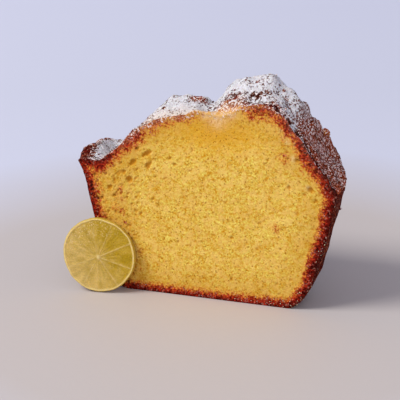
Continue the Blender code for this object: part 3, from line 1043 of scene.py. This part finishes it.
class SliceSettings(PropertyGroup):
    """Colours of the citrus slice."""

    pulp_deep: tint("Deep pulp", "Pulp at the upper right", 188, 150, 0)
    pulp_pale: tint("Pale pulp", "Pulp at the lower left", 214, 180, 96)
    membrane: tint("Membrane", "Walls between the segments", 238, 208, 142)
    pith: tint("Pith", "Ring inside the zest", 246, 218, 146)
    zest: tint("Zest", "Outer skin", 206, 176, 74)


class StageSettings(PropertyGroup):
    """Colours of the floor and strengths of the ambient light and the lamps."""

    near: tint("Near floor", "Floor round the cake", 200, 190, 183)
    far: tint("Far floor", "Floor further out", 214, 215, 227)
    farthest: tint("Farthest floor", "Floor over a metre away", 227, 228, 242)
    sky: tint("Ambient", "Colour of the ambient light", 214, 216, 238)
    ambient: FloatProperty(
        name="Ambient strength", description="Strength of the ambient light", default=0.62, min=0
    )
    key: watts("Key light", "Power of the large soft light", 90.0)
    fill: watts("Fill light", "Power of the weak light in front", 12.0)


# --- Operators ---
def place_piece(piece, material, node=None):
    """Gives a piece its material and its body, and hides the solid that it stands for, if one is
    named.
    """
    piece.data.materials.append(material)
    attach(piece, "root")
    if node:
        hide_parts(node)


def put(context, name, data, at, turn):
    """A new object for a light or a camera, placed and turned."""
    made = bpy.data.objects.new(name, data)
    made.location, made.rotation_euler = at, turn
    context.scene.collection.objects.link(made)
    return made


class LEMONCAKE_OT_stage(Operator):
    """Make the floor, the lights and the camera"""

    bl_idname = "lemoncake.stage"
    bl_label = "Stage"

    def execute(self, context):
        look = context.scene.cake_stage
        reach = np.linspace(-3, 3, 25)
        x, y = np.meshgrid(reach, reach, indexing="ij")
        ids = np.arange(x.size).reshape(x.shape)
        floor = build_mesh("floor", np.stack([x, y, 0 * x], -1).reshape(-1, 3), sheet_cells(ids))
        floor.data.materials.append(floor_material(look))
        for (name, at, size), power in zip(LIGHTS, (look.key, look.fill)):
            light = bpy.data.lights.new(name, "AREA")
            light.shape, light.size, light.energy = "DISK", size, power
            aim = Vector(LIGHT_AIM) - Vector(at)
            put(context, name, light, at, aim.to_track_quat("-Z", "Y").to_euler())
        world = bpy.data.worlds.new("soft_studio")
        world.use_nodes = True
        back = world.node_tree.nodes["Background"]
        back.inputs["Color"].default_value = (*look.sky, 1)
        back.inputs["Strength"].default_value = look.ambient
        context.scene.world = world
        context.scene.view_settings.view_transform = "Standard"
        camera = bpy.data.cameras.new("camera")
        camera.lens, camera.sensor_width = CAMERA_LENS, CAMERA_SENSOR
        turn = (math.pi / 2 - CAMERA_DOWN, 0, CAMERA_YAW)
        context.scene.camera = put(context, "camera", camera, CAMERA_AT, turn)
        return {"FINISHED"}


class LEMONCAKE_OT_loaf(Operator):
    """Make the loaf with its crumbs and sugar crystals"""

    bl_idname = "lemoncake.loaf"
    bl_label = "Loaf, crumbs and crystals"

    def execute(self, context):
        look = context.scene.cake_loaf
        points, loops, values, normal = loaf_surface()
        baked = baked_cake_material(look)
        place_piece(build_mesh("lemon_loaf", points, loops, values), baked, "cake")

        centres, radii = crystal_places(points, values)
        grain_points, loops = many_balls(centres, radii, 2, 5, 0.15, 23)
        crystals = build_mesh("sugar_crystals", inside_box(grain_points), loops, smooth=False)
        place_piece(crystals, sugar_crystal_material(look))

        centres, radii, tone = crumb_places(points, values, normal)
        grain_points, loops = many_balls(centres, radii, 5, 8, 0.22, 24)
        each = len(grain_points) // len(centres)
        values = {"depth": np.repeat(tone, each), "sugar": np.full(len(grain_points), 0.3)}
        crumbs = build_mesh("loose_crumbs", inside_box(grain_points), loops, values)
        place_piece(crumbs, baked)
        return {"FINISHED"}


class LEMONCAKE_OT_slice(Operator):
    """Make the citrus slice"""

    bl_idname = "lemoncake.slice"
    bl_label = "Citrus slice"

    def execute(self, context):
        piece = build_mesh("citrus_slice", *slice_surface())
        place_piece(piece, citrus_material(context.scene.cake_slice), "lemon_slice")
        return {"FINISHED"}


class LEMONCAKE_PT_panel(Panel):
    """The sidebar panel with the steps and their settings"""

    bl_idname = "LEMONCAKE_PT_panel"
    bl_label = "Lemon loaf cake"
    bl_space_type = "VIEW_3D"
    bl_region_type = "UI"
    bl_category = "Lemon cake"

    def draw(self, context):
        for operator, name, _ in STEPS:
            box = self.layout.box()
            box.operator(operator.bl_idname)
            settings = getattr(context.scene, name)
            for key in settings.bl_rna.properties.keys():
                if key not in ("rna_type", "name"):
                    box.prop(settings, key)


STEPS = (
    (LEMONCAKE_OT_stage, "cake_stage", StageSettings),
    (LEMONCAKE_OT_loaf, "cake_loaf", LoafSettings),
    (LEMONCAKE_OT_slice, "cake_slice", SliceSettings),
)


def register():
    """Makes the settings, the operators and the panel known."""
    for operator, name, group in STEPS:
        bpy.utils.register_class(group)
        setattr(bpy.types.Scene, name, PointerProperty(type=group))
        bpy.utils.register_class(operator)
    bpy.utils.register_class(LEMONCAKE_PT_panel)


def unregister():
    """Takes them out again, in the opposite order."""
    bpy.utils.unregister_class(LEMONCAKE_PT_panel)
    for operator, name, group in reversed(STEPS):
        bpy.utils.unregister_class(operator)
        delattr(bpy.types.Scene, name)
        bpy.utils.unregister_class(group)


def main():
    """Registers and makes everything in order."""
    register()
    bpy.ops.lemoncake.stage()
    bpy.ops.lemoncake.loaf()
    bpy.ops.lemoncake.slice()


if __name__ == "__main__":
    main()
